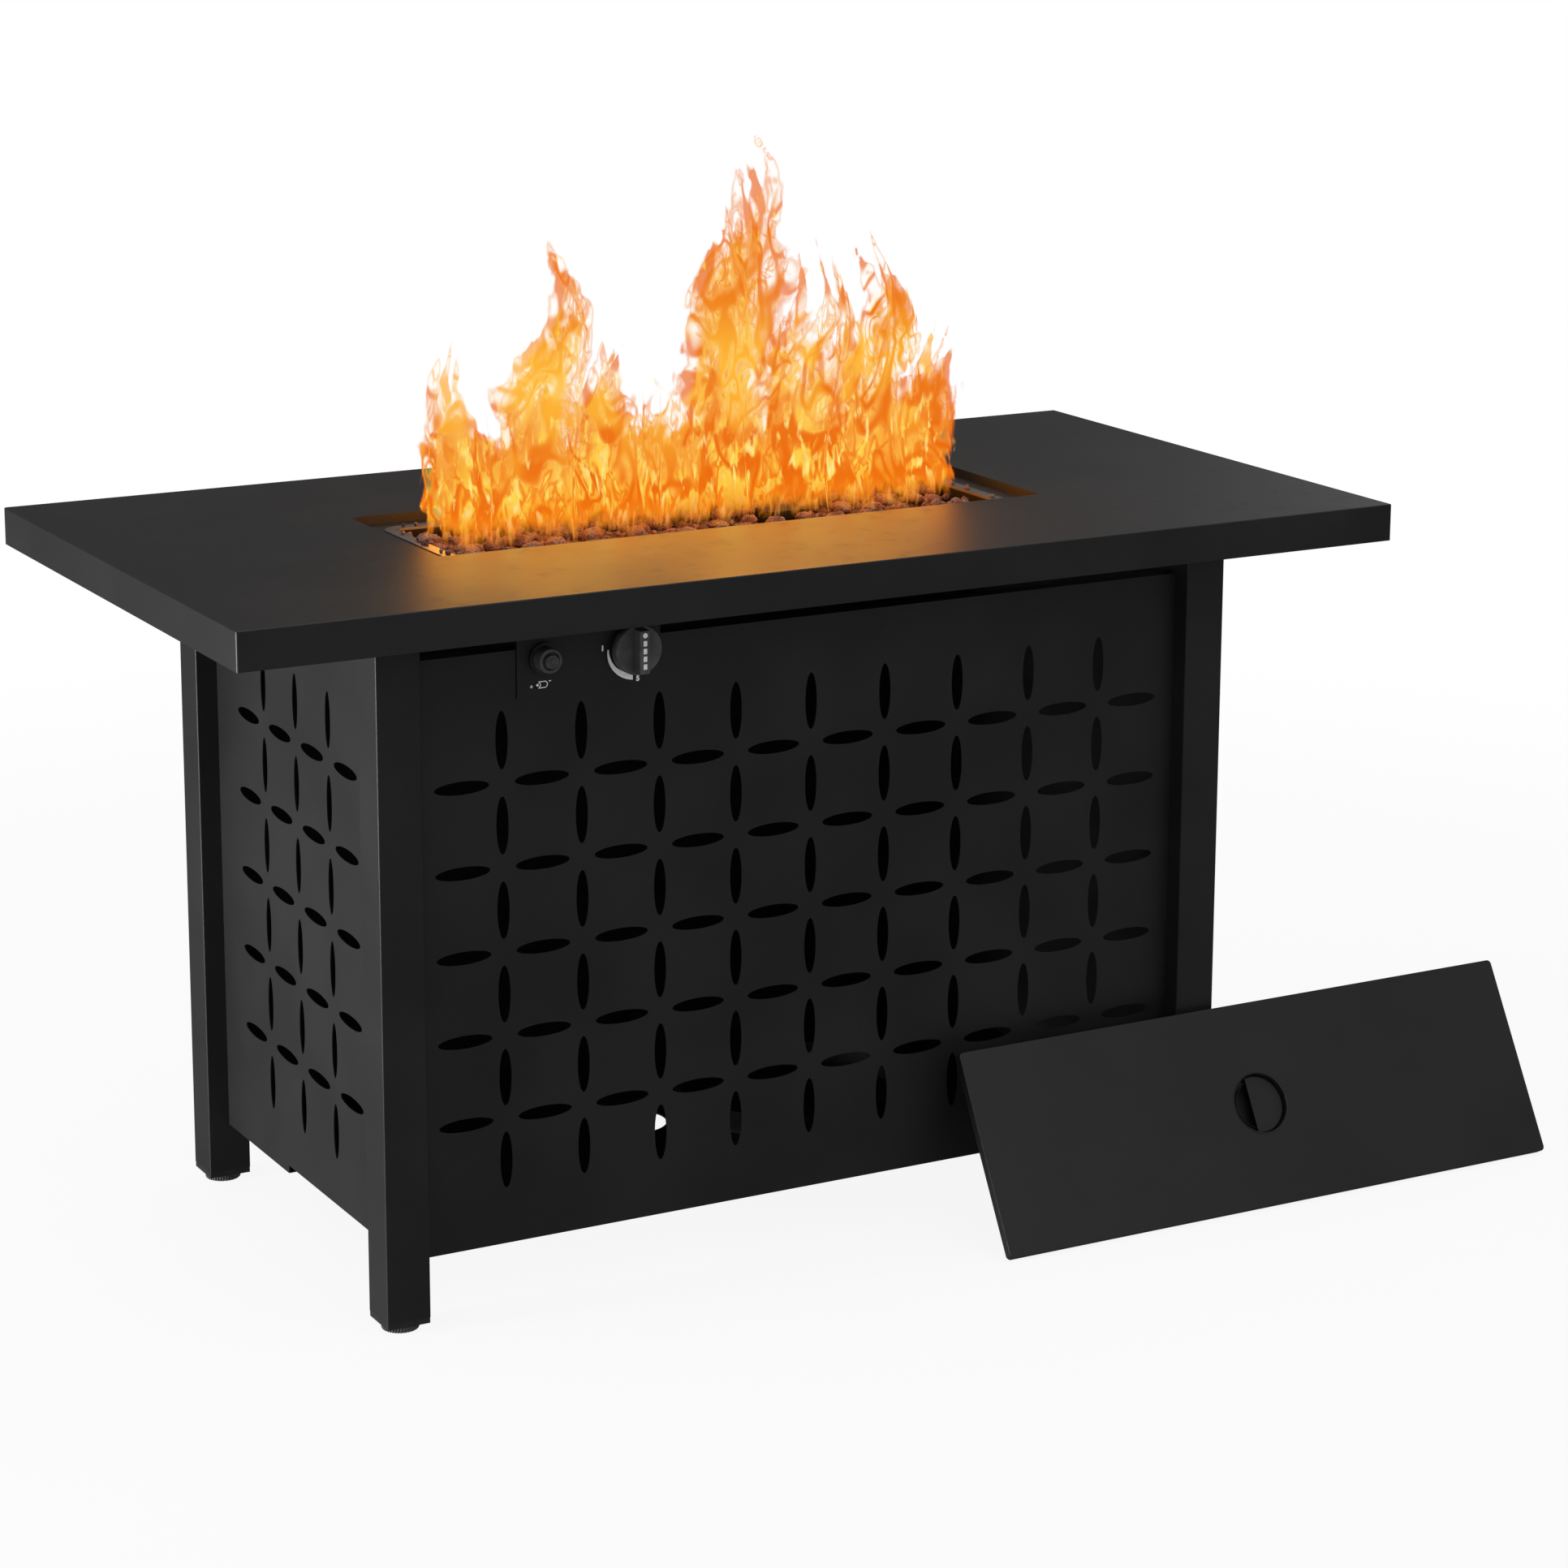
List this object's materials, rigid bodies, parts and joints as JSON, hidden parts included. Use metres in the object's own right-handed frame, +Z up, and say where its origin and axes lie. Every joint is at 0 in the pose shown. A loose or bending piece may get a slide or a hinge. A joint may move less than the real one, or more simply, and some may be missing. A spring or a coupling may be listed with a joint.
{
  "type": "gas fire pit table",
  "caption": "Rectangular gas fire pit table with a lava rock burner, knob and igniter, pierced side panels, an end door and a lid leaning on one leg.",
  "frame": {"origin": "on the floor, at the centre of the rectangle of the four feet", "axes": "+X along the table towards the end with the door, +Y from the control side to the back, +Z up"},
  "size_m": [1.235, 0.587, 0.61],
  "materials": {
    "black_coat": "satin powder coat",
    "black_plastic": "matte",
    "gloss_black": "semi-gloss",
    "zinc": "zinc plated",
    "stainless": "brushed",
    "cast_alloy": "cast",
    "brass": "machined",
    "battery": "printed can",
    "ceramic": "glazed",
    "lava": "porous stone"
  },
  "bodies": {
    "table": {"table_top": "black_coat", "leg_front_left": "black_coat", "leg_front_right": "black_coat", "leg_rear_left": "black_coat", "leg_rear_right": "black_coat", "leg_plugs": "black_plastic", "leg_brackets": "black_coat", "bracket_bolts": "zinc", "top_nuts": "zinc", "front_panel": "black_coat", "rear_panel": "black_coat", "left_panel": "black_coat", "panel_screws": "zinc", "bottom_tray": "black_coat", "cylinder_ring": "black_coat", "door_hinges": "black_coat", "hinge_screws": "zinc", "door_magnet": "black_plastic", "control_plate": "black_coat", "gas_valve": "cast_alloy", "valve_nuts": "zinc", "gas_inlet": "brass", "valve_spring": "stainless", "igniter_body": "black_plastic", "igniter_nut": "black_plastic", "cell_spring": "stainless", "burner_pan": "stainless", "burner_tube": "stainless", "burner_straps": "stainless", "air_mixer": "stainless", "gas_orifice": "brass", "gas_pipe": "cast_alloy", "pipe_nuts": "brass", "pilot_hood": "stainless", "spark_electrode": "ceramic", "flame_sensor": "stainless", "lava_bed": "lava", "lava_rocks": "lava"},
    "door": {"access_door": "black_coat", "door_pull": "black_coat", "door_pull_nut": "zinc", "door_striker": "zinc"},
    "plunger": {"spring_collar": "zinc"},
    "knob": {"control_knob": "black_plastic", "valve_stem": "zinc"},
    "cell": {"igniter_cell": "battery"},
    "cap": {"igniter_cap": "gloss_black"},
    "button": {"igniter_button": "gloss_black"},
    "foot_fl": {"foot_front_left": "black_plastic"},
    "foot_fr": {"foot_front_right": "black_plastic"},
    "foot_rl": {"foot_rear_left": "black_plastic"},
    "foot_rr": {"foot_rear_right": "black_plastic"},
    "lid": {"lid": "black_coat", "lid_pull_cup": "black_coat", "lid_pull_plate": "black_coat"}
  },
  "joints": [
    {"name": "door_swing", "type": "hinge", "parent": "table", "child": "door", "pos_m": [0.375, 0.17, 0.3], "axis": [0, 0, 1], "range_deg": [0, 100]},
    {"name": "knob_push", "type": "slide", "parent": "table", "child": "plunger", "axis": [0, 1, 0], "range_m": [0, 0.003], "stiffness_N_per_m": 2000, "springref_m": -0.002, "deforming": ["valve_spring"]},
    {"name": "knob_turn", "type": "hinge", "parent": "plunger", "child": "knob", "pos_m": [-0.166, -0.2, 0.5435], "axis": [0, -1, 0], "range_deg": [0, 180]},
    {"name": "cell_feed", "type": "slide", "parent": "table", "child": "cell", "axis": [0, -1, 0], "range_m": [0, 0.005]},
    {"name": "cap_unscrew", "type": "hinge", "parent": "cell", "child": "cap", "pos_m": [-0.246, -0.21, 0.5435], "axis": [0, -1, 0], "range_deg": [0, 720]},
    {"name": "button_push", "type": "slide", "parent": "cap", "child": "button", "axis": [0, 1, 0], "range_m": [0, 0.003], "stiffness_N_per_m": 1000, "springref_m": -0.001},
    {"name": "foot_fl_level", "type": "slide", "parent": "table", "child": "foot_fl", "axis": [0, 0, -1], "range_m": [0, 0.012]},
    {"name": "foot_fr_level", "type": "slide", "parent": "table", "child": "foot_fr", "axis": [0, 0, -1], "range_m": [0, 0.012]},
    {"name": "foot_rl_level", "type": "slide", "parent": "table", "child": "foot_rl", "axis": [0, 0, -1], "range_m": [0, 0.012]},
    {"name": "foot_rr_level", "type": "slide", "parent": "table", "child": "foot_rr", "axis": [0, 0, -1], "range_m": [0, 0.012]},
    {"name": "lid_lift", "type": "slide", "parent": "table", "child": "lid", "axis": [0, -0.866, 0.5], "range_m": [0, 0.4]}
  ],
  "couplings": [
    {"joint": "cap_unscrew", "follows": "cell_feed", "rad_per_m": 2513.3}
  ]
}
